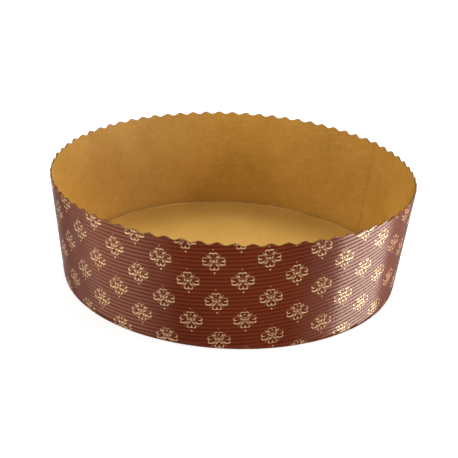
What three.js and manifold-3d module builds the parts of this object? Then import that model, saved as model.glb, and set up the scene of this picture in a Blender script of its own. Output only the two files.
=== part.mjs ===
// Low panettone mold of single-faced corrugated paper: a flared wall with straight flutes outside, a
// scalloped rim and a pleated flange folded in under a round base disc.
// Millimetres, +Z up, origin in the middle of the underside.

import * as THREE from 'three';
import Module from 'manifold-3d';

const wasm = await Module();
wasm.setup();

// Wall, measured over the crests of the flutes
const FOOT_DIAMETER = 210;
const HEIGHT = 68.2;
const FLARE = 7.5; // how far the rim stands out beyond the foot, each side

// Single-faced sheet: a smooth liner inside, with flutes on the outside
const LINER_THICKNESS = 0.4;
const FLUTE_DEPTH = 0.8;
const FLUTE_PITCH = 2.53;
const FIRST_CREST = 0.45; // above the foot, where the flutes run level
const LEVEL_BEARING = THREE.MathUtils.degToRad(222.7);

// Scalloped rim
const SCALLOP_PITCH = 9.55;
const SCALLOP_DEPTH = 1.75;
const STEPS_PER_SCALLOP = 4;

// Lap seam, nearly opposite the place where the flutes run level
const SEAM_BEARING = THREE.MathUtils.degToRad(33);
const LAP_WIDTH = 14;
const LAP_RAMP = 12;
const LAP_GLUE = 0.1;
const LAP_FLUTE_DEPTH = 0.2; // what is left of the flutes where the lap is pressed
const COLUMN_WIDTH = 12; // facet width round the wall
const RAMP_STEPS = 3;
const LAP_STEPS = 2;

// Flange, the lower margin of the wall, folded in and gathered into pleats
const FLANGE_WIDTH = 14;
const FLANGE_THICKNESS = 1.4;
const FOLD_RADIUS = 0.9;
const FOLD_STEPS = 2;
const PLEAT_PITCH = 18;
const PLEAT_DEPTH = 0.5;
const PLEAT_FOLD_SHARE = 0.3; // share of a pleat that its folded groove takes
const JOIN_OVERLAP = 0.3; // how far the fluted wall reaches down into the crushed fold

// Base disc, glued on the flange
const DISC_CLEARANCE = 1.4; // between the edge of the disc and the smooth face of the wall
const DISC_THICKNESS = 0.9;
const DISC_CURL_WIDTH = 4;
const DISC_CURL_HEIGHT = 0.5;
const DISC_WAVE_HEIGHT = 0.25;
const DISC_WAVES = 9;
const DISC_SIDES = 108;

const PAPER_BROWN = 0x74382a;
const PAPER_KRAFT = 0xb98a4a;

// The cone through the flute crests, and its flat development
const footRadius = FOOT_DIAMETER / 2;
const sheetThickness = LINER_THICKNESS + FLUTE_DEPTH;
const coneAngle = Math.atan2(FLARE, HEIGHT);
const sinCone = Math.sin(coneAngle);
const cosCone = Math.cos(coneAngle);
const footSlant = footRadius / sinCone; // from the apex of the cone to the foot
const rimSlant = footSlant + HEIGHT / cosCone;
const lapInnerRise = LINER_THICKNESS + LAP_GLUE; // over the inner end, which is pressed flat
const lapOuterRise = LAP_FLUTE_DEPTH + LAP_GLUE;
const seamTurn = SEAM_BEARING + 2 * Math.PI - LEVEL_BEARING;
const trimMargin = sheetThickness + lapOuterRise + FLUTE_PITCH;
const foldRadius = Math.min(FOLD_RADIUS, FLANGE_THICKNESS - JOIN_OVERLAP);

// A closed solid under construction: numbered corners and the triangles between them
class Shell {
  constructor() {
    this.corners = [];
    this.triangles = [];
  }

  corner(point) {
    this.corners.push(point.x, point.y, point.z);
    return this.corners.length / 3 - 1;
  }

  triangle(a, b, c) {
    if (a === b || b === c || c === a) return;
    this.triangles.push(a, b, c);
  }

  // Joins two sections. Corners with the same line number meet, and the others close as fans.
  strip(from, to) {
    let i = 0;
    let j = 0;
    while (i < from.length - 1 || j < to.length - 1) {
      const stepFrom = j === to.length - 1 || (i < from.length - 1 && from[i + 1].line <= to[j + 1].line);
      if (stepFrom) {
        this.triangle(from[i].corner, to[j].corner, from[i + 1].corner);
        i += 1;
      } else {
        this.triangle(from[i].corner, to[j].corner, to[j + 1].corner);
        j += 1;
      }
    }
  }

  // Lofts closed sections round the axis, the last one back to the first
  loft(sections) {
    const rings = sections.map((section) => [...section, { line: Infinity, corner: section[0].corner }]);
    rings.forEach((ring, n) => this.strip(ring, rings[(n + 1) % rings.length]));
  }

  solid() {
    return new wasm.Manifold(
      new wasm.Mesh({
        numProp: 3,
        vertProperties: new Float32Array(this.corners),
        triVerts: new Uint32Array(this.triangles),
      })
    );
  }
}

function polar(radius, bearing, height) {
  return new THREE.Vector3(radius * Math.cos(bearing), radius * Math.sin(bearing), height);
}

// A point of the rolled sheet: turn from the level place, slant distance and height over the crests
function onSheet(turn, slant, proud) {
  const radius = slant * sinCone + proud * cosCone;
  const height = (slant - footSlant) * cosCone - proud * sinCone;
  return polar(radius, LEVEL_BEARING + turn, height);
}

// Numbered corners of a ring whose points come in the same order in every section
function plainSection(shell, points) {
  return points.map((point, line) => ({ line, corner: shell.corner(point) }));
}

// How far the outer end of the strip has climbed the lap: 0 on the single sheet, 1 over the inner end
function lapShare(turn) {
  return THREE.MathUtils.smoothstep(turn, seamTurn - LAP_RAMP / footRadius, seamTurn);
}

// Crest and valley lines of the flutes that cross the wall at one turn. A flute is straight on the
// flat blank, so its slant distance grows away from the level place.
function flutedEdge(shell, turn) {
  const halfPitch = FLUTE_PITCH / 2;
  const spread = Math.cos(turn * sinCone);
  const crest = lapOuterRise * lapShare(turn);
  const depth = THREE.MathUtils.lerp(FLUTE_DEPTH, LAP_FLUTE_DEPTH, lapShare(turn));
  const firstCrest = footSlant + FIRST_CREST;
  const lowest = ((footSlant - trimMargin) * spread - firstCrest) / halfPitch;
  const highest = ((rimSlant + trimMargin) * spread - firstCrest) / halfPitch;
  const edge = [];
  for (let line = Math.ceil(lowest); line <= highest; line += 1) {
    const slant = (firstCrest + line * halfPitch) / spread;
    const proud = line % 2 === 0 ? crest : crest - depth;
    edge.push({ line, corner: shell.corner(onSheet(turn, slant, proud)) });
  }
  return edge;
}

// The smooth inner face at one turn, from rim to foot
function smoothEdge(shell, turn) {
  const past = 2 * trimMargin;
  const slants = [rimSlant + past, footSlant - past];
  const proud = lapInnerRise * lapShare(turn) - sheetThickness;
  return slants.map((slant, n) => ({
    line: Number.MAX_SAFE_INTEGER - 1 + n,
    corner: shell.corner(onSheet(turn, slant, proud)),
  }));
}

function evenly(from, to, steps) {
  return Array.from({ length: steps + 1 }, (_, n) => THREE.MathUtils.lerp(from, to, n / steps));
}

// The strip rolled to a cone and longer than the wall at both edges. Its outer end ramps up, passes
// over the inner end and stops, which leaves a step inside and a step outside.
function rolledStrip() {
  const shell = new Shell();
  const lapTurn = LAP_WIDTH / footRadius;
  const rampTurn = LAP_RAMP / footRadius;
  const start = seamTurn - 2 * Math.PI + lapTurn;
  const rampStart = seamTurn - rampTurn;
  const columns = Math.round((rampStart - start) * footRadius / COLUMN_WIDTH);

  const rampTurns = evenly(rampStart, seamTurn, RAMP_STEPS).slice(1);
  const singleTurns = [...evenly(start, rampStart, columns), ...rampTurns];
  const single = singleTurns.map((turn) => [...flutedEdge(shell, turn), ...smoothEdge(shell, turn)]);

  // Round the lap the outside belongs to the outer end, and the smooth face to the inner end
  const lapTurns = evenly(seamTurn, seamTurn + lapTurn, LAP_STEPS);
  const outerFaces = lapTurns.map((turn) => flutedEdge(shell, turn));
  const innerFaces = lapTurns.map((turn) => smoothEdge(shell, turn - 2 * Math.PI));
  outerFaces[0] = single.at(-1).slice(0, -2);
  innerFaces[LAP_STEPS] = single[0].slice(-2);
  const double = outerFaces.map((face, n) => [...face, ...innerFaces[n]]);

  shell.loft([...single, ...double]);
  return shell.solid();
}

// The part of the sheet that is kept: up to the scallops, and down to the crushed fold
function trimBody() {
  const shell = new Shell();
  const scallops = Math.round(2 * Math.PI * (footRadius + FLARE) / SCALLOP_PITCH);
  const steps = scallops * STEPS_PER_SCALLOP;
  const floor = FLANGE_THICKNESS - JOIN_OVERLAP;
  const outside = 2 * trimMargin;
  const inside = -2 * trimMargin;
  const sections = [];
  for (let n = 0; n < steps; n += 1) {
    const turn = 2 * Math.PI * n / steps;
    const dip = SCALLOP_DEPTH * (1 - Math.cos(turn * scallops)) / 2;
    const bearing = LEVEL_BEARING + turn;
    sections.push(
      plainSection(shell, [
        polar(footRadius + outside, bearing, floor),
        onSheet(turn, rimSlant - dip, outside),
        onSheet(turn, rimSlant - dip, inside),
        polar(footRadius + inside, bearing, floor),
      ])
    );
  }
  shell.loft(sections);
  return shell.solid();
}

// The margin folded in under the disc. Flat lands stand on the table, and between them the spare
// paper is gathered into grooves that deepen inward.
function flange() {
  const shell = new Shell();
  const innerRadius = footRadius - FLANGE_WIDTH;
  const pleats = Math.round(2 * Math.PI * footRadius / PLEAT_PITCH);
  const pleatTurn = 2 * Math.PI / pleats;
  const foldCentre = footRadius - foldRadius;
  const stops = [
    { share: 0, depth: 0 },
    { share: 1 - PLEAT_FOLD_SHARE, depth: 0 },
    { share: 1 - PLEAT_FOLD_SHARE / 2, depth: PLEAT_DEPTH },
  ];
  const sections = [];
  for (let pleat = 0; pleat < pleats; pleat += 1) {
    for (const stop of stops) {
      const bearing = (pleat + stop.share) * pleatTurn;
      const fold = evenly(-Math.PI / 2, 0, FOLD_STEPS).map((angle) =>
        polar(foldCentre + foldRadius * Math.cos(angle), bearing, foldRadius * (1 + Math.sin(angle)))
      );
      sections.push(
        plainSection(shell, [
          polar(innerRadius, bearing, stop.depth),
          ...fold,
          polar(footRadius, bearing, FLANGE_THICKNESS),
          polar(innerRadius, bearing, FLANGE_THICKNESS),
        ])
      );
    }
  }
  shell.loft(sections);
  return shell.solid();
}

function sideWall() {
  return rolledStrip().intersect(trimBody()).add(flange());
}

// Flat disc with a thin edge that curls up in shallow waves
function baseDisc() {
  const shell = new Shell();
  const radius = footRadius - sheetThickness - DISC_CLEARANCE;
  const underside = FLANGE_THICKNESS;
  const topside = underside + DISC_THICKNESS;
  const underCentre = shell.corner(new THREE.Vector3(0, 0, underside));
  const topCentre = shell.corner(new THREE.Vector3(0, 0, topside));
  const sections = [];
  for (let n = 0; n < DISC_SIDES; n += 1) {
    const bearing = 2 * Math.PI * n / DISC_SIDES;
    const curl = DISC_CURL_HEIGHT + DISC_WAVE_HEIGHT * Math.cos(DISC_WAVES * bearing);
    const rim = [
      polar(radius - DISC_CURL_WIDTH, bearing, underside),
      polar(radius, bearing, underside + curl),
      polar(radius, bearing, topside + curl),
      polar(radius - DISC_CURL_WIDTH, bearing, topside),
    ];
    const corners = [underCentre, ...rim.map((point) => shell.corner(point)), topCentre];
    sections.push(corners.map((corner, line) => ({ line, corner })));
  }
  shell.loft(sections);
  return shell.solid();
}

function paperMesh(name, solid, colour, roughness) {
  const { vertProperties, triVerts } = solid.getMesh();
  const geometry = new THREE.BufferGeometry();
  geometry.setAttribute('position', new THREE.BufferAttribute(vertProperties, 3));
  geometry.setIndex(new THREE.BufferAttribute(triVerts, 1));
  geometry.computeVertexNormals();
  const material = new THREE.MeshStandardMaterial({ color: colour, roughness, metalness: 0 });
  const mesh = new THREE.Mesh(geometry, material);
  mesh.name = name;
  return mesh;
}

const mold = new THREE.Group();
mold.add(paperMesh('side_wall', sideWall(), PAPER_BROWN, 0.45));
mold.add(paperMesh('base_disc', baseDisc(), PAPER_KRAFT, 0.7));

export default mold;
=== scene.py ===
import math

import bpy
import numpy as np
from mathutils import Matrix, Vector


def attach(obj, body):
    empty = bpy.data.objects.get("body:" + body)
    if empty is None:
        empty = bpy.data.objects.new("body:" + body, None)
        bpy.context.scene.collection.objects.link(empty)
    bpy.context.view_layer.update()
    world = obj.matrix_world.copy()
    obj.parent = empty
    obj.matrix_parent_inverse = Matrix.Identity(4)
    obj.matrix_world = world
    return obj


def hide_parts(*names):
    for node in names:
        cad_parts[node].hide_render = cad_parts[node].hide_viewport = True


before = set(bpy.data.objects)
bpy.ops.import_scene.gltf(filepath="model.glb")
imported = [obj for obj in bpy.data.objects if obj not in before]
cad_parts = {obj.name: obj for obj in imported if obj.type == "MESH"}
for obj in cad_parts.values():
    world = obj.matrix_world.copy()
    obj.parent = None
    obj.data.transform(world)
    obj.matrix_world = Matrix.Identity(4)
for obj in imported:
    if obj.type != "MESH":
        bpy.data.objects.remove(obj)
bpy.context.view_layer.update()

MM = 0.001
CM = 10 * MM

# Wall sizes in metres, over the flute crests, as the solid has them
FOOT_RADIUS = 105 * MM
HEIGHT = 68.2 * MM
FLARE = 7.5 * MM
LINER = 0.4 * MM
FLUTE_DEPTH = 0.8 * MM
FLUTE_PITCH = 2.53 * MM
FIRST_CREST = 0.45 * MM
LEVEL_BEARING = math.radians(222.7)
SHEET = LINER + FLUTE_DEPTH
SCALLOPS = 74
SCALLOP_DEPTH = 1.75 * MM
FLANGE_WIDTH = 14 * MM
FLANGE_THICKNESS = 1.4 * MM
FOLD_RADIUS = 0.9 * MM
FOLD_HEIGHT = 0.6 * FLANGE_THICKNESS
PLEATS = 37
PLEAT_DEPTH = 0.5 * MM
PLEAT_PLACE = 0.85
PLEAT_HALF_WIDTH = 0.15

# The lap seam: the inner end of the strip is pressed flat, and the outer end climbs over it
SEAM_TURN = math.radians(33 + 360) - LEVEL_BEARING
LAP = 14 * MM / FOOT_RADIUS
LAP_RAMP = 12 * MM / FOOT_RADIUS
LAP_FLUTE_DEPTH = 0.2 * MM
LAP_INNER_RISE = 0.5 * MM
LAP_OUTER_RISE = 0.3 * MM
PRESSED_END = 0.45 * MM
PRESSED_FADE = 0.25
THINNED_EDGE = 0.28 * MM
THINNED_WIDTH = 2 * MM / FOOT_RADIUS
STRIP_START = SEAM_TURN - 2 * math.pi

# The flutes: how sharp their valleys are, and how far the fold at the foot crushes them
SHARP_SHARE = 0.65
CRUSHED_DEPTH = 0.3
CRUSH_LOW = 0.4 * MM
CRUSH_HIGH = 3 * MM

# The cut rim: a little low, and in waves that have a height, a count around and a shift
RIM_CUT_DROP = 0.1 * MM
RIM_WAVES = ((0.06 * MM, 11, 1), (0.05 * MM, 23, 2))

# How fine the paper is modelled
COLUMNS_PER_SCALLOP = 6
ROWS_PER_FLUTE = 6
ROWS_INSIDE = 16
WELD_DISTANCE = 0.004 * MM
SHARP_EDGE = math.radians(50)

# The cone and its flat blank
CONE_ANGLE = math.atan2(FLARE, HEIGHT)
SIN_CONE = math.sin(CONE_ANGLE)
COS_CONE = math.cos(CONE_ANGLE)
FOOT_SLANT = FOOT_RADIUS / SIN_CONE
RIM_SLANT = FOOT_SLANT + HEIGHT / COS_CONE
FOLD_SLANT = FOOT_SLANT + FOLD_HEIGHT


# Small helpers for the paper surfaces

def smoothstep(low, high, value):
    t = np.clip((value - low) / (high - low), 0, 1)
    return t * t * (3 - 2 * t)


def around(bearing, radius, height):
    """Points at a radius and height over each bearing."""
    return np.stack([radius * np.cos(bearing), radius * np.sin(bearing), height + 0 * bearing], -1)


def waves(angle, parts):
    """The sum of waves around the mold, each with its height, its count and its shift."""
    return sum(height * np.sin(count * angle + shift) for height, count, shift in parts)


def on_sheet(turn, slant, proud):
    """A point of the rolled sheet, from its turn, slant distance and height over the crests."""
    radius = slant * SIN_CONE + proud * COS_CONE
    height = (slant - FOOT_SLANT) * COS_CONE - proud * SIN_CONE
    return around(LEVEL_BEARING + turn, radius, height)


def rim_slant(turn):
    """Where the die cut the scalloped rim, with the small unevenness of a real cut."""
    dip = SCALLOP_DEPTH * (1 - np.cos(turn * SCALLOPS)) / 2
    return RIM_SLANT - dip - RIM_CUT_DROP + waves(turn, RIM_WAVES)


def lap_share(turn):
    """How far the outer end of the strip has climbed over the inner end, 0 to 1."""
    return smoothstep(SEAM_TURN - LAP_RAMP, SEAM_TURN, turn)


def fluted_height(turn, slant):
    """Height of the printed face over the crest cone: flutes, pressed flat at both ends."""
    across = slant * np.cos(turn * SIN_CONE) - FOOT_SLANT - FIRST_CREST
    round_wave = (1 - np.cos(2 * math.pi * across / FLUTE_PITCH)) / 2
    sharp_wave = 1 - np.abs(np.cos(math.pi * across / FLUTE_PITCH))
    wave = (1 - SHARP_SHARE) * round_wave + SHARP_SHARE * sharp_wave
    crushed = 1 - smoothstep(FOOT_SLANT + CRUSH_LOW, FOOT_SLANT + CRUSH_HIGH, slant)
    share = lap_share(turn)
    depth = FLUTE_DEPTH + (LAP_FLUTE_DEPTH - FLUTE_DEPTH) * share
    height = LAP_OUTER_RISE * share - depth * (wave * (1 - crushed) + CRUSHED_DEPTH * crushed)
    inner_end = 1 - smoothstep(STRIP_START + LAP, STRIP_START + LAP * (1 + PRESSED_FADE), turn)
    return height + (PRESSED_END - SHEET - height) * inner_end


def smooth_height(turn):
    """Height of the smooth face over the crest cone, thinned by the press at the inner end."""
    thinned = THINNED_EDGE * (1 - smoothstep(STRIP_START, STRIP_START + THINNED_WIDTH, turn))
    return LAP_INNER_RISE * lap_share(turn) + thinned - SHEET


def new_grid(name, columns, rows):
    """A new flat grid of columns by rows points, the only object that is selected."""
    bpy.ops.object.select_all(action="DESELECT")
    bpy.ops.mesh.primitive_grid_add(x_subdivisions=columns - 1, y_subdivisions=rows - 1, size=1)
    grid = bpy.context.object
    grid.name = name
    return grid


def place_points(piece, points):
    piece.data.vertices.foreach_set("co", np.ascontiguousarray(points, dtype=np.float32).ravel())
    piece.data.update()


def paint_rows(piece, columns, numbers):
    """Gives each row of a grid's faces its material number."""
    rows = np.asarray(numbers, dtype=np.int32)
    piece.data.polygons.foreach_set("material_index", np.repeat(rows, columns - 1))


def write_blank_map(piece, turn, slant):
    """UV map of the flat blank, in centimetres, so that what is printed follows the paper."""
    loops = np.empty(len(piece.data.loops), dtype=np.int32)
    piece.data.loops.foreach_get("vertex_index", loops)
    across = slant * np.sin(turn * SIN_CONE)
    along = slant * np.cos(turn * SIN_CONE) - FOOT_SLANT
    blank = np.stack([across.ravel(), along.ravel()], -1) / CM
    layer = piece.data.uv_layers[0]
    layer.name = "blank"
    layer.data.foreach_set("uv", blank[loops].astype(np.float32).ravel())


def weld(piece):
    bpy.ops.object.mode_set(mode="EDIT")
    bpy.ops.mesh.select_all(action="SELECT")
    bpy.ops.mesh.remove_doubles(threshold=WELD_DISTANCE)
    bpy.ops.object.mode_set(mode="OBJECT")


def face_outwards():
    bpy.ops.object.mode_set(mode="EDIT")
    bpy.ops.mesh.select_all(action="SELECT")
    bpy.ops.mesh.normals_make_consistent(inside=False)
    bpy.ops.object.mode_set(mode="OBJECT")
    bpy.ops.object.shade_smooth_by_angle(angle=SHARP_EDGE)


# The side wall

# The cut rim's faces take a cut-edge paper whose darkness is partly a painted shade
PRINTED, KRAFT, CUT_EDGE_AND_SHADE = 0, 1, 2


def wall_turns():
    columns = round(SCALLOPS * COLUMNS_PER_SCALLOP * (1 + LAP / (2 * math.pi)))
    return np.linspace(STRIP_START, SEAM_TURN + LAP, columns + 1)


def fluted_face(turns):
    """The printed outside: every row is one line along a flute, cut off at rim and foot."""
    spread = np.cos(turns * SIN_CONE)
    step = FLUTE_PITCH / ROWS_PER_FLUTE
    first_line = FOOT_SLANT + FIRST_CREST
    first = math.floor((FOOT_SLANT * spread.min() - first_line) / step)
    last = math.ceil((RIM_SLANT - first_line) / step)
    lines = first_line + np.arange(first, last + 1) * step
    grid = new_grid("side_wall_paper", len(turns), len(lines))
    slant = np.clip(lines[:, None] / spread[None, :], FOLD_SLANT, rim_slant(turns)[None, :])
    turn = np.broadcast_to(turns[None, :], slant.shape)
    place_points(grid, on_sheet(turn, slant, fluted_height(turn, slant)))
    write_blank_map(grid, turn, slant)
    return grid


def smooth_face_rows(turns):
    """Rows of points from the rim's outer edge, over the edge, down the smooth face, round the
    flange under the base and up the fold to the foot, with the blank's slant and the material
    of the faces that follow."""
    rim = rim_slant(turns)
    fold = FOLD_SLANT + 0 * turns
    rows = [(on_sheet(turns, rim, fluted_height(turns, rim)), rim, CUT_EDGE_AND_SHADE)]
    for share in np.linspace(0, 1, ROWS_INSIDE):
        slant = rim + (FOOT_SLANT + FLANGE_THICKNESS / COS_CONE - rim) * share
        rows.append((on_sheet(turns, slant, smooth_height(turns)), slant, KRAFT))

    bearing = LEVEL_BEARING + turns
    outer = FOOT_RADIUS + fluted_height(turns, fold)
    on_lap = turns > SEAM_TURN
    width = np.where(on_lap, SHEET, FLANGE_WIDTH)
    inner = outer - width
    pleat = np.mod(bearing * PLEATS / (2 * math.pi), 1)
    gather = PLEAT_DEPTH * np.clip(1 - np.abs(pleat - PLEAT_PLACE) / PLEAT_HALF_WIDTH, 0, 1)
    gather = np.where(on_lap, 0, gather)

    def flange_row(radius, height):
        rows.append((around(bearing, radius, height), FOOT_SLANT - (outer - radius), PRINTED))

    flange_row(inner, FLANGE_THICKNESS)
    flange_row(inner, gather)
    for share in (0.25, 0.5, 0.75):
        flange_row(inner + (width - FOLD_RADIUS) * share, gather * (1 - share))
    for angle in np.linspace(-math.pi / 2, -math.pi / 8, 4):
        flange_row(outer - FOLD_RADIUS * (1 - math.cos(angle)), FOLD_RADIUS * (1 + math.sin(angle)))
    rows.append((on_sheet(turns, fold, fluted_height(turns, fold)), fold, PRINTED))
    return rows


def smooth_face(turns):
    points, slants, materials = zip(*smooth_face_rows(turns))
    grid = new_grid("wall_inside", len(turns), len(points))
    place_points(grid, np.stack(points))
    write_blank_map(grid, turns[None, :], np.stack(slants))
    return grid, materials[:-1]


def side_wall(printed, kraft, cut_edge_with_painted_light):
    turns = wall_turns()
    outside = fluted_face(turns)
    inside, materials = smooth_face(turns)
    for piece in (outside, inside):
        for material in (printed, kraft, cut_edge_with_painted_light):
            piece.data.materials.append(material)
    paint_rows(inside, len(turns), materials)

    bpy.ops.object.select_all(action="DESELECT")
    inside.select_set(True)
    outside.select_set(True)
    bpy.context.view_layer.objects.active = outside
    bpy.ops.object.join()
    weld(outside)

    # The two cut ends of the strip are closed and left as bare kraft
    bpy.ops.object.mode_set(mode="EDIT")
    bpy.ops.mesh.select_all(action="DESELECT")
    bpy.ops.mesh.select_mode(type="EDGE")
    bpy.ops.mesh.select_non_manifold(extend=False)
    bpy.ops.mesh.fill_holes(sides=0)
    outside.active_material_index = KRAFT
    bpy.ops.object.material_slot_assign()
    bpy.ops.object.mode_set(mode="OBJECT")
    face_outwards()
    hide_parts("side_wall")
    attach(outside, "root")


# The base disc

DISC_RADIUS = 102.4 * MM
DISC_THICKNESS = 0.9 * MM
DISC_CURL_WIDTH = 4 * MM
DISC_CURL_HEIGHT = 0.5 * MM
DISC_WAVES = ((0.24 * MM, 9, math.pi / 2), (0.12 * MM, 23, 1 + math.pi / 2))
DISC_RINGS = np.array([0, 10, 40, 70, 90, *np.linspace(98, 102.2, 8)]) * MM
DISC_HIGHLIT_RINGS = 3
DISC_SIDES = 360
PLAIN, PALE = 0, 1


def base_disc(kraft, pale_edge_with_painted_highlight):
    """A thin disc whose edge curls up in shallow uneven waves, its outer rings in pale cut-edge
    paper that is partly a painted highlight.
    """
    bearings = np.linspace(0, 2 * math.pi, DISC_SIDES + 1)
    curl = DISC_CURL_HEIGHT + waves(bearings, DISC_WAVES)

    def ring(radius, level):
        curled = curl * smoothstep(DISC_RADIUS - DISC_CURL_WIDTH, DISC_RADIUS, radius)
        return around(bearings, radius, FLANGE_THICKNESS + level + curled)

    under = [ring(radius, 0) for radius in DISC_RINGS]
    edge = [ring(DISC_RADIUS, DISC_THICKNESS * share) for share in (0.25, 0.75)]
    over = [ring(radius, DISC_THICKNESS) for radius in DISC_RINGS[::-1]]
    rows = under + edge + over
    disc = new_grid("base_disc_paper", DISC_SIDES + 1, len(rows))
    place_points(disc, np.stack(rows))
    disc.data.materials.append(kraft)
    disc.data.materials.append(pale_edge_with_painted_highlight)
    # The edge and the outer rings of the top: pale cut fibres with a painted highlight of the curl
    numbers = np.full(len(rows) - 1, PLAIN)
    numbers[len(under) - 1:len(under) + 1 + DISC_HIGHLIT_RINGS] = PALE
    paint_rows(disc, DISC_SIDES + 1, numbers)
    weld(disc)
    face_outwards()
    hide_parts("base_disc")
    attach(disc, "root")


# Shader arithmetic

class Field:
    """A shader value that can be written in formulas."""

    def __init__(self, tree, socket):
        self.tree = tree
        self.socket = socket

    def make(self, operation, *others, clamp=False):
        node = self.tree.nodes.new("ShaderNodeMath")
        node.operation = operation
        node.use_clamp = clamp
        for slot, value in zip(node.inputs, (self, *others)):
            if isinstance(value, Field):
                self.tree.links.new(value.socket, slot)
            else:
                slot.default_value = value
        return Field(self.tree, node.outputs[0])

    def __add__(self, other):
        return self.make("ADD", other)

    def __sub__(self, other):
        return self.make("SUBTRACT", other)

    def __mul__(self, other):
        return self.make("MULTIPLY", other)

    def __truediv__(self, other):
        return self.make("DIVIDE", other)

    def over(self, other):
        return self.make("MAXIMUM", other)

    def under(self, other):
        return self.make("MINIMUM", other)

    def size(self):
        return self.make("ABSOLUTE")

    def above(self, limit):
        return self.make("GREATER_THAN", limit)

    def stretched(self, gain, shift):
        """The value times a gain, shifted and kept between 0 and 1."""
        return self.make("MULTIPLY_ADD", gain, shift, clamp=True)

    def inked(self, soft):
        """1 where the value is well below zero and 0 above it, with a soft edge."""
        return self.stretched(-1 / soft, 0.5)


def length(x, y):
    return (x * x + y * y).make("SQRT")


def select(chooser, yes, no):
    return yes * chooser + no * (chooser * -1.0 + 1.0)


def add(tree, kind, **settings):
    node = tree.nodes.new(kind)
    for name, value in settings.items():
        setattr(node, name, value)
    return node


def plane_of(tree, vector, scale):
    """The first two parts of a vector, in the unit that the scale gives."""
    parts = add(tree, "ShaderNodeSeparateXYZ")
    tree.links.new(vector, parts.inputs[0])
    return Field(tree, parts.outputs["X"]) * scale, Field(tree, parts.outputs["Y"]) * scale


def flute_wave(along):
    """Flutes along the blank, in millimetres: 1 on their crests and -1 in their valleys."""
    return (along * (2 * math.pi * MM / FLUTE_PITCH)).make("COSINE")


def noise(tree, vector, scale, detail, stretch=(1, 1, 1)):
    mapping = add(tree, "ShaderNodeMapping")
    mapping.inputs["Scale"].default_value = stretch
    texture = add(tree, "ShaderNodeTexNoise")
    texture.inputs["Scale"].default_value = scale
    texture.inputs["Detail"].default_value = detail
    tree.links.new(vector, mapping.inputs["Vector"])
    tree.links.new(mapping.outputs[0], texture.inputs["Vector"])
    return Field(tree, texture.outputs["Fac"])


def from_screen(red, green, blue):
    """Linear colour of a colour as it is seen on screen, 0 to 255."""
    def linear(value):
        value /= 255
        return value / 12.92 if value <= 0.04045 else ((value + 0.055) / 1.055) ** 2.4
    return tuple(linear(value) for value in (red, green, blue))


def tones(tree, factor, low, high, dark, light):
    """A dark colour up to a low factor, a light one from a high factor, and a blend between."""
    node = add(tree, "ShaderNodeValToRGB")
    for element, place, colour in zip(node.color_ramp.elements, (low, high), (dark, light)):
        element.position = place
        element.color = (*from_screen(*colour), 1)
    tree.links.new(factor.socket, node.inputs["Fac"])
    return node.outputs["Color"]


def tinted(tree, factor, colour, tint):
    """A colour with a tint laid over it where the factor is high."""
    node = add(tree, "ShaderNodeMix", data_type="RGBA")
    tree.links.new(factor.socket, node.inputs["Factor"])
    tree.links.new(colour, node.inputs["A"])
    node.inputs["B"].default_value = (*from_screen(*tint), 1)
    return node.outputs["Result"]


def new_material(name):
    material = bpy.data.materials.new(name)
    material.use_nodes = True
    tree = material.node_tree
    return material, tree, tree.nodes["Principled BSDF"]


def roughen(tree, shader, height, strength, distance):
    bump = add(tree, "ShaderNodeBump")
    bump.inputs["Strength"].default_value = strength
    bump.inputs["Distance"].default_value = distance
    tree.links.new(height.socket, bump.inputs["Height"])
    tree.links.new(bump.outputs[0], shader.inputs["Normal"])


# Colours as seen on screen, 0 to 255: a dark and a light tone of each paper, then tints on them

BROWN = ((111, 39, 12), (127, 49, 17))
WALL_KRAFT = ((187, 138, 50), (211, 163, 72))
DISC_KRAFT = ((203, 157, 73), (221, 175, 91))
# The rim's cut edge: darker than bare kraft, partly a painted shade on the scallop tips
RIM_EDGE_AND_SHADE = ((112, 76, 34), (150, 108, 56))
# The disc's cut edge: paler cut fibres, and in the light tone a painted highlight where the curled
# edge catches the light
DISC_EDGE_AND_HIGHLIGHT = ((180, 130, 58), (248, 206, 134))
GOLD_INK = (255, 216, 160)
PALE_GRAIN = (236, 190, 98)
PALE_STREAK = (226, 184, 112)
DARK_FIBRE = (96, 56, 24)


# The gold flower print, in millimetres on the blank

FLOWER_ACROSS = 29.82
FLOWER_ALONG = 25.5
FLOWER_ORIGIN = (-5.93, 2.54)
PETAL_LINE = 0.6
CLEFT_PLACE = 0.1
CLEFT_HALF_LENGTH = 0.5
TIP_STEEPNESS = 4.0
STROKE_PLACE = 4.5
STROKE_HALF_LENGTH = 1.05
STROKE_HALF_WIDTH = 0.2
CENTRE_RADIUS = 0.62
CENTRE_STRETCH = 0.72
DOT_PLACE = 7.25
DOT_RADIUS = 0.42
INK_EDGE = 0.25
INK_METAL = 0.3
LACQUER_ROUGHNESS = 0.17
LACQUER_UNEVENNESS = 0.06


def nearest_flower(x, y):
    """Distance across and along to the nearest centre of the staggered rows."""
    def offset(value, pitch, shift):
        turns = value / pitch + (0.5 + shift)
        whole = turns.make("FLOOR")
        return (turns - whole - 0.5) * pitch

    ax, ay = offset(x, FLOWER_ACROSS, 0.0), offset(y, FLOWER_ALONG, 0.0)
    bx, by = offset(x, FLOWER_ACROSS, 0.5), offset(y, FLOWER_ALONG, 0.5)
    nearer = (length(bx, by) - length(ax, ay)).above(0.0)
    return select(nearer, ax, bx), select(nearer, ay, by)


def heart_line(out, side, lobes, radius, tip):
    """Distance from the outline of a heart: two round lobes far out, and a tip near the middle."""
    long_radius = ((lobes - tip) ** 2 + (2 * radius) ** 2) / (4 * radius)
    bulge = length(out - lobes, side - radius) - radius
    flank = length(out - lobes, side + (long_radius - 2 * radius)) - long_radius
    outline = select(out.above(lobes), bulge.size(), flank.size())
    cleft = side.over((out - (lobes + CLEFT_PLACE)).size() - CLEFT_HALF_LENGTH)
    return outline.under(cleft) + (out * -1.0 + tip).over(0.0) * TIP_STEEPNESS


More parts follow.
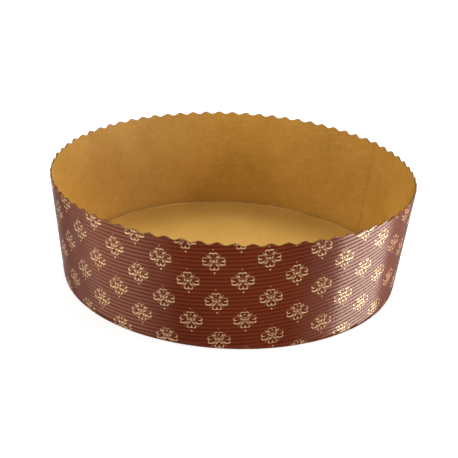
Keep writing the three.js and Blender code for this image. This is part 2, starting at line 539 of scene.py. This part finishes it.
def flower(x, y):
    """Four heart-shaped petals in outline, a stroke on each diagonal, a centre and two dots."""
    x_size, y_size = x.size(), y.size()
    upright = heart_line(y_size, x_size, lobes=4.1, radius=1.14, tip=1.0)
    sideways = heart_line(x_size, y_size, lobes=4.95, radius=1.1, tip=1.3)
    petals = upright.under(sideways) - PETAL_LINE / 2

    along = (x_size + y_size) * math.sqrt(0.5)
    aside = ((x_size - y_size) * math.sqrt(0.5)).size()
    stroke = ((along - STROKE_PLACE).size() - STROKE_HALF_LENGTH).over(aside - STROKE_HALF_WIDTH)

    centre = length(x * CENTRE_STRETCH, y) - CENTRE_RADIUS
    dot = length(x, y_size - DOT_PLACE) - DOT_RADIUS
    return petals.under(stroke).under(centre).under(dot).inked(INK_EDGE)


def printed_paper():
    """Brown lacquered paper with the gold flower print."""
    material, tree, shader = new_material("printed_corrugated_paper")
    blank = add(tree, "ShaderNodeUVMap", uv_map="blank").outputs[0]
    across, along = plane_of(tree, blank, CM / MM)
    x, y = nearest_flower(across - FLOWER_ORIGIN[0], along - FLOWER_ORIGIN[1])
    gold = flower(x, y)

    # The ink takes best on the crests, and is thin and worn in patches
    crest = flute_wave(along - FIRST_CREST / MM)
    coords = add(tree, "ShaderNodeTexCoord").outputs["Object"]
    touched = crest.stretched(0.7, 0.85)
    patchy = noise(tree, coords, 900, 2).stretched(1.6, 0.45)
    worn = noise(tree, coords, 70, 3).stretched(1.6, 0.25)
    ink = gold * patchy * touched * worn

    brown = tones(tree, noise(tree, coords, 22, 4), 0.3, 0.7, *BROWN)
    tree.links.new(tinted(tree, ink, brown, GOLD_INK), shader.inputs["Base Color"])
    roughness = noise(tree, coords, 160, 2) * LACQUER_UNEVENNESS + LACQUER_ROUGHNESS
    tree.links.new(roughness.socket, shader.inputs["Roughness"])
    tree.links.new((ink * INK_METAL).socket, shader.inputs["Metallic"])
    shader.inputs["IOR"].default_value = 1.5
    shader.inputs["Specular Tint"].default_value = (1.0, 0.82, 0.68, 1)
    roughen(tree, shader, noise(tree, coords, 1400, 3), 0.15, 0.08 * MM)
    return material


# Kraft paper, with places, half widths and half lengths of dark fibres in millimetres

DARK_FIBRES = ((-11.9, 47.7, 0.25, 1.3), (9.9, 46.8, 0.3, 0.5),
               (19.6, 44.0, 0.5, 0.6), (25.5, 37.8, 0.35, 0.6))
FIBRE_EDGE = 0.6
FIBRE_STRENGTH = 0.75
GRAIN_STRENGTH = 0.2
STREAK_STRENGTH = 0.65
FLUTES_SHOWING = 0.35


def dark_fibres(tree, coords):
    x, y = plane_of(tree, coords, 1 / MM)
    nearest = None
    for x_place, y_place, wide, long in DARK_FIBRES:
        away = length((x - x_place) / wide, (y - y_place) / long) - 1.0
        nearest = away if nearest is None else nearest.under(away)
    return nearest.inked(FIBRE_EDGE)


def kraft_paper(name, dark, light, over_flutes):
    """Smooth kraft paper: cloudy tone and grain. Over flutes it has streaks and faint lines
    along them, and otherwise a few dark fibres."""
    material, tree, shader = new_material(name)
    coords = add(tree, "ShaderNodeTexCoord").outputs["Object"]
    colour = tones(tree, noise(tree, coords, 22, 6), 0.32, 0.68, dark, light)
    grain = noise(tree, coords, 420, 4, stretch=(1, 1, 0.6)).stretched(2.4, -0.7)
    colour = tinted(tree, grain * GRAIN_STRENGTH, colour, PALE_GRAIN)
    height = noise(tree, coords, 700, 4, stretch=(1, 1, 2))
    if over_flutes:
        blank = add(tree, "ShaderNodeUVMap", uv_map="blank").outputs[0]
        streaks = noise(tree, blank, 1.0, 2, stretch=(0.9, 9, 1)).stretched(3.2, -1.75)
        colour = tinted(tree, streaks * STREAK_STRENGTH, colour, PALE_STREAK)
        _, along = plane_of(tree, blank, CM / MM)
        height = height + flute_wave(along) * FLUTES_SHOWING
    else:
        colour = tinted(tree, dark_fibres(tree, coords) * FIBRE_STRENGTH, colour, DARK_FIBRE)
    tree.links.new(colour, shader.inputs["Base Color"])
    shader.inputs["Roughness"].default_value = 0.6
    shader.inputs["Specular IOR Level"].default_value = 0.25
    roughen(tree, shader, height, 0.35, 0.1 * MM)
    return material


def edge_paper_with_painted_light(name, dark, light, patches):
    """The bare edge where paper was cut, in patches of two tones; on the rim its darkness is partly
    a painted shade, on the disc its pale tone partly a painted highlight.
    """
    material, tree, shader = new_material(name)
    coords = add(tree, "ShaderNodeTexCoord").outputs["Object"]
    tone = tones(tree, noise(tree, coords, patches, 3), 0.3, 0.7, dark, light)
    tree.links.new(tone, shader.inputs["Base Color"])
    shader.inputs["Roughness"].default_value = 0.9
    shader.inputs["Specular IOR Level"].default_value = 0.1
    return material


# The studio

FLOOR_SIZE = 6
WORLD_LIGHT = 0.36
FLOOR_GREY = 0.55
FLOOR_WHITENESS = 0.75
FLOOR_IN_GLOSS = 0.1
# Lamps: bearing, elevation, distance, width, height and power, in degrees, metres and watts
LAMPS = {
    "light_right": (-3.5, 30, 1.3, 1.3, 0.8, 5.5),
    "light_left": (195, 35, 1.4, 1.0, 0.8, 4.6),
    "light_behind": (85, 50, 1.3, 1.0, 0.65, 10),
    "light_front": (270, 7.5, 1.5, 1.6, 0.3, 5.2),
}
# Cards that only the gloss shows: the same places and sizes, then brightness and colour
CARDS = {
    "shine_right": (-12.5, 20, 1.3, 0.78, 0.9, 10.5, (1, 1, 1)),
    "shine_left": (195, 20, 1.4, 1.0, 0.9, 2.6, (1, 0.9, 0.78)),
    "dark_front": (270, 28, 1.5, 2.2, 1.6, 0, (1, 1, 1)),
    "glow_right": (44, 18, 1.4, 2.2, 1.3, 2.2, (1, 0.55, 0.45)),
    "dark_left": (131, 18, 1.35, 1.5, 1.3, 0, (1, 1, 1)),
}


def rays_that_see_white(tree, gloss_share):
    """1 for what the camera sees straight or through something, and a share of it in the gloss."""
    path = add(tree, "ShaderNodeLightPath")
    glossy = Field(tree, path.outputs["Is Glossy Ray"]) * gloss_share
    seen = Field(tree, path.outputs["Is Camera Ray"]).over(glossy)
    return seen.over(Field(tree, path.outputs["Is Transmission Ray"]))


def light_world():
    """White to the camera and in reflections, and a plain level for the light."""
    world = bpy.data.worlds.new("studio")
    bpy.context.scene.world = world
    world.use_nodes = True
    tree = world.node_tree
    light = tree.nodes["Background"]
    light.inputs["Color"].default_value = (1, 1, 1, 1)
    light.inputs["Strength"].default_value = WORLD_LIGHT
    white = add(tree, "ShaderNodeBackground")
    white.inputs["Color"].default_value = (1, 1, 1, 1)
    white.inputs["Strength"].default_value = 1
    mix = add(tree, "ShaderNodeMixShader")
    tree.links.new(rays_that_see_white(tree, 1.0).socket, mix.inputs["Fac"])
    tree.links.new(light.outputs[0], mix.inputs[1])
    tree.links.new(white.outputs[0], mix.inputs[2])
    tree.links.new(mix.outputs[0], tree.nodes["World Output"].inputs["Surface"])


def floor_material():
    """White to the camera where nothing shades it, and a pale diffuse floor for the light."""
    material, tree, shader = new_material("studio_floor")
    shader.inputs["Base Color"].default_value = (FLOOR_GREY, FLOOR_GREY, FLOOR_GREY, 1)
    shader.inputs["Roughness"].default_value = 0.9
    fill = add(tree, "ShaderNodeEmission")
    seen = rays_that_see_white(tree, FLOOR_IN_GLOSS) * FLOOR_WHITENESS
    tree.links.new(seen.socket, fill.inputs["Strength"])
    both = add(tree, "ShaderNodeAddShader")
    tree.links.new(shader.outputs[0], both.inputs[0])
    tree.links.new(fill.outputs[0], both.inputs[1])
    tree.links.new(both.outputs[0], tree.nodes["Material Output"].inputs["Surface"])
    return material


def place_around(bearing, elevation, distance):
    bearing, elevation = math.radians(bearing), math.radians(elevation)
    level = math.cos(elevation)
    towards = Vector((math.cos(bearing) * level, math.sin(bearing) * level, math.sin(elevation)))
    return towards * distance


def soft_box(name, bearing, elevation, distance, width, height, power):
    where = place_around(bearing, elevation, distance)
    bpy.ops.object.light_add(type="AREA", location=where)
    lamp = bpy.context.object
    lamp.name = name
    lamp.data.shape = "RECTANGLE"
    lamp.data.size = width
    lamp.data.size_y = height
    lamp.data.energy = power
    lamp.rotation_euler = where.to_track_quat("Z", "Y").to_euler()
    lamp.visible_glossy = False


def card(name, bearing, elevation, distance, width, height, brightness, colour):
    """A card beside the camera's view that shows only in the gloss of the paper, bright or dark."""
    bpy.ops.mesh.primitive_plane_add(size=1, location=place_around(bearing, elevation, distance))
    piece = bpy.context.object
    piece.name = name
    piece.scale = (width, height, 1)
    piece.rotation_euler = piece.location.to_track_quat("Z", "Y").to_euler()
    piece.visible_camera = False
    piece.visible_diffuse = False
    piece.visible_shadow = False
    material, tree, shader = new_material(name)
    shader.inputs["Base Color"].default_value = (0.02, 0.02, 0.02, 1)
    shader.inputs["Roughness"].default_value = 1.0
    shader.inputs["Emission Color"].default_value = (*colour, 1)
    shader.inputs["Emission Strength"].default_value = brightness
    piece.data.materials.append(material)


def studio():
    bpy.ops.mesh.primitive_plane_add(size=FLOOR_SIZE)
    floor = bpy.context.object
    floor.name = "floor"
    floor.data.materials.append(floor_material())
    light_world()
    for name, placing in LAMPS.items():
        soft_box(name, *placing)
    for name, placing in CARDS.items():
        card(name, *placing)


# Camera, placed as the photograph was taken

CAMERA_DISTANCE = 692.4 * MM
CAMERA_ELEVATION = math.radians(26.05)
CAMERA_PITCH = math.radians(2.004)
CAMERA_YAW = math.radians(-0.1)
CAMERA_ROLL = math.radians(2.712)
FOCAL_LENGTH = 84.4
SENSOR_WIDTH = 36


def camera():
    place = Vector((0, -math.cos(CAMERA_ELEVATION), math.sin(CAMERA_ELEVATION))) * CAMERA_DISTANCE
    ahead = -place.normalized()
    right = Vector((1, 0, 0))
    up = right.cross(ahead)
    gaze = (ahead * math.cos(CAMERA_YAW) * math.cos(CAMERA_PITCH)
            + right * math.sin(CAMERA_YAW) * math.cos(CAMERA_PITCH) + up * math.sin(CAMERA_PITCH))
    gaze.normalize()
    level = gaze.cross(Vector((0, 0, 1))).normalized()
    raised = level.cross(gaze)
    axis_x = level * math.cos(CAMERA_ROLL) + raised * math.sin(CAMERA_ROLL)
    axis_y = raised * math.cos(CAMERA_ROLL) - level * math.sin(CAMERA_ROLL)
    turned = Matrix((axis_x, axis_y, -gaze)).transposed().to_4x4()
    data = bpy.data.cameras.new("camera")
    data.lens = FOCAL_LENGTH
    data.sensor_width = SENSOR_WIDTH
    data.clip_start = CM
    eye = bpy.data.objects.new("camera", data)
    eye.matrix_world = Matrix.Translation(place) @ turned
    bpy.context.collection.objects.link(eye)
    bpy.context.scene.camera = eye


camera()
studio()
wall_kraft = kraft_paper("kraft_wall", *WALL_KRAFT, over_flutes=True)
disc_kraft = kraft_paper("kraft_disc", *DISC_KRAFT, over_flutes=False)
# The cut edges hold painted light: a painted shade on the rim and a painted highlight on the disc
shade_painted_rim_edge = edge_paper_with_painted_light("rim_cut_with_painted_shade", *RIM_EDGE_AND_SHADE, patches=500)
highlight_painted_disc_edge = edge_paper_with_painted_light("disc_cut_with_painted_highlight", *DISC_EDGE_AND_HIGHLIGHT, patches=40)
side_wall(printed_paper(), wall_kraft, shade_painted_rim_edge)
base_disc(disc_kraft, highlight_painted_disc_edge)
bpy.context.scene.view_settings.view_transform = "Standard"
